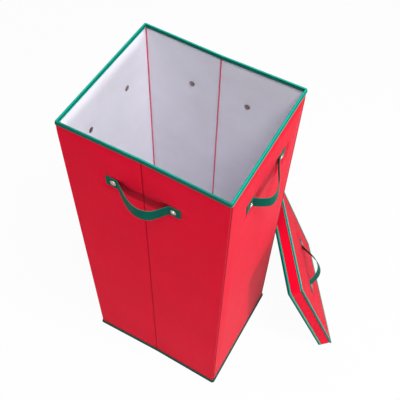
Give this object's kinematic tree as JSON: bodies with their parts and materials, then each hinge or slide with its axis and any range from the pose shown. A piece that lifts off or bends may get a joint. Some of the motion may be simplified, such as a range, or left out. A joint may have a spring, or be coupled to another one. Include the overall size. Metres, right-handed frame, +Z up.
{
  "type": "gift wrap organizer",
  "caption": "Tall free-standing board box covered in cloth, with bound edges, riveted strap handles, a loose base board and a loose lid that leans beside it.",
  "frame": {"origin": "middle of the box's flat underside, where it rests on the floor", "axes": "+Z up the box, -Y out of its creased front wall, +X out of its right wall, towards the leaning lid"},
  "size_m": [0.5824, 0.514, 0.8],
  "materials": {
    "red_cloth": "non-woven polypropylene, matt, with small dimples",
    "green_tape": "folded binding tape, matt",
    "dark_green_tape": "folded binding tape, matt",
    "green_webbing": "flat woven strap",
    "white_lining": "thin non-woven lining, matt",
    "pink_seam": "turned-in cloth of a seam",
    "greyboard": "grey paper board, uncoated",
    "nickel": "nickel-plated steel, polished"
  },
  "bodies": {
    "box": {"outer_cover": "red_cloth", "bottom_cover": "red_cloth", "rim_binding": "green_tape", "base_binding": "dark_green_tape", "left_board": "greyboard", "right_board": "greyboard", "front_left_board": "greyboard", "front_right_board": "greyboard", "back_left_board": "greyboard", "back_right_board": "greyboard", "left_liner": "white_lining", "right_liner": "white_lining", "front_left_liner": "white_lining", "front_right_liner": "white_lining", "back_left_liner": "white_lining", "back_right_liner": "white_lining", "front_left_corner_seam": "pink_seam", "front_right_corner_seam": "pink_seam", "back_left_corner_seam": "pink_seam", "back_right_corner_seam": "pink_seam", "front_crease_seam": "pink_seam", "back_crease_seam": "pink_seam", "front_strap_left_end": "green_webbing", "front_strap_right_end": "green_webbing", "front_left_rivet": "nickel", "front_right_rivet": "nickel", "right_strap_left_end": "green_webbing", "right_strap_right_end": "green_webbing", "right_left_rivet": "nickel", "right_right_rivet": "nickel", "back_strap_left_end": "green_webbing", "back_strap_right_end": "green_webbing", "back_left_rivet": "nickel", "back_right_rivet": "nickel", "left_strap_left_end": "green_webbing", "left_strap_right_end": "green_webbing", "left_left_rivet": "nickel", "left_right_rivet": "nickel"},
    "base_insert": {"base_insert_board": "greyboard", "base_insert_cover": "white_lining"},
    "front_handle": {"front_strap_loop": "green_webbing"},
    "right_handle": {"right_strap_loop": "green_webbing"},
    "back_handle": {"back_strap_loop": "green_webbing"},
    "left_handle": {"left_strap_loop": "green_webbing"},
    "lid": {"lid_top_cover": "red_cloth", "lid_side_cover": "red_cloth", "lid_liner": "white_lining", "lid_edge_binding": "green_tape", "lid_top_binding": "green_tape", "lid_top_board": "greyboard", "lid_lower_board": "greyboard", "lid_upper_board": "greyboard", "lid_near_board": "greyboard", "lid_far_board": "greyboard", "lid_strap_left_end": "green_webbing", "lid_strap_right_end": "green_webbing", "lid_left_rivet": "nickel", "lid_right_rivet": "nickel"},
    "lid_handle": {"lid_strap_loop": "green_webbing"}
  },
  "joints": [
    {"name": "base_insert_lift", "type": "slide", "parent": "box", "child": "base_insert", "axis": [0, 0, 1], "range_m": [0, 0.85]},
    {"name": "front_handle_swing", "type": "hinge", "parent": "box", "child": "front_handle", "pos_m": [0, -0.15006, 0.7], "axis": [1, 0, 0], "range_deg": [-58, 37]},
    {"name": "right_handle_swing", "type": "hinge", "parent": "box", "child": "right_handle", "pos_m": [0.17669, 0, 0.7], "axis": [0, 1, 0], "range_deg": [-58, 37]},
    {"name": "back_handle_swing", "type": "hinge", "parent": "box", "child": "back_handle", "pos_m": [0, 0.15006, 0.7], "axis": [-1, 0, 0], "range_deg": [-58, 37]},
    {"name": "left_handle_swing", "type": "hinge", "parent": "box", "child": "left_handle", "pos_m": [-0.17669, 0, 0.7], "axis": [0, -1, 0], "range_deg": [-58, 37]},
    {"name": "lid_lift", "type": "slide", "parent": "box", "child": "lid", "axis": [0.0851, 0.0607, 0.9945], "range_m": [0, 0.85]},
    {"name": "lid_handle_swing", "type": "hinge", "parent": "lid", "child": "lid_handle", "pos_m": [0.25555, 0.19083, 0.17854], "axis": [-0.5807, 0.8141, 0], "range_deg": [-58, 37]}
  ]
}
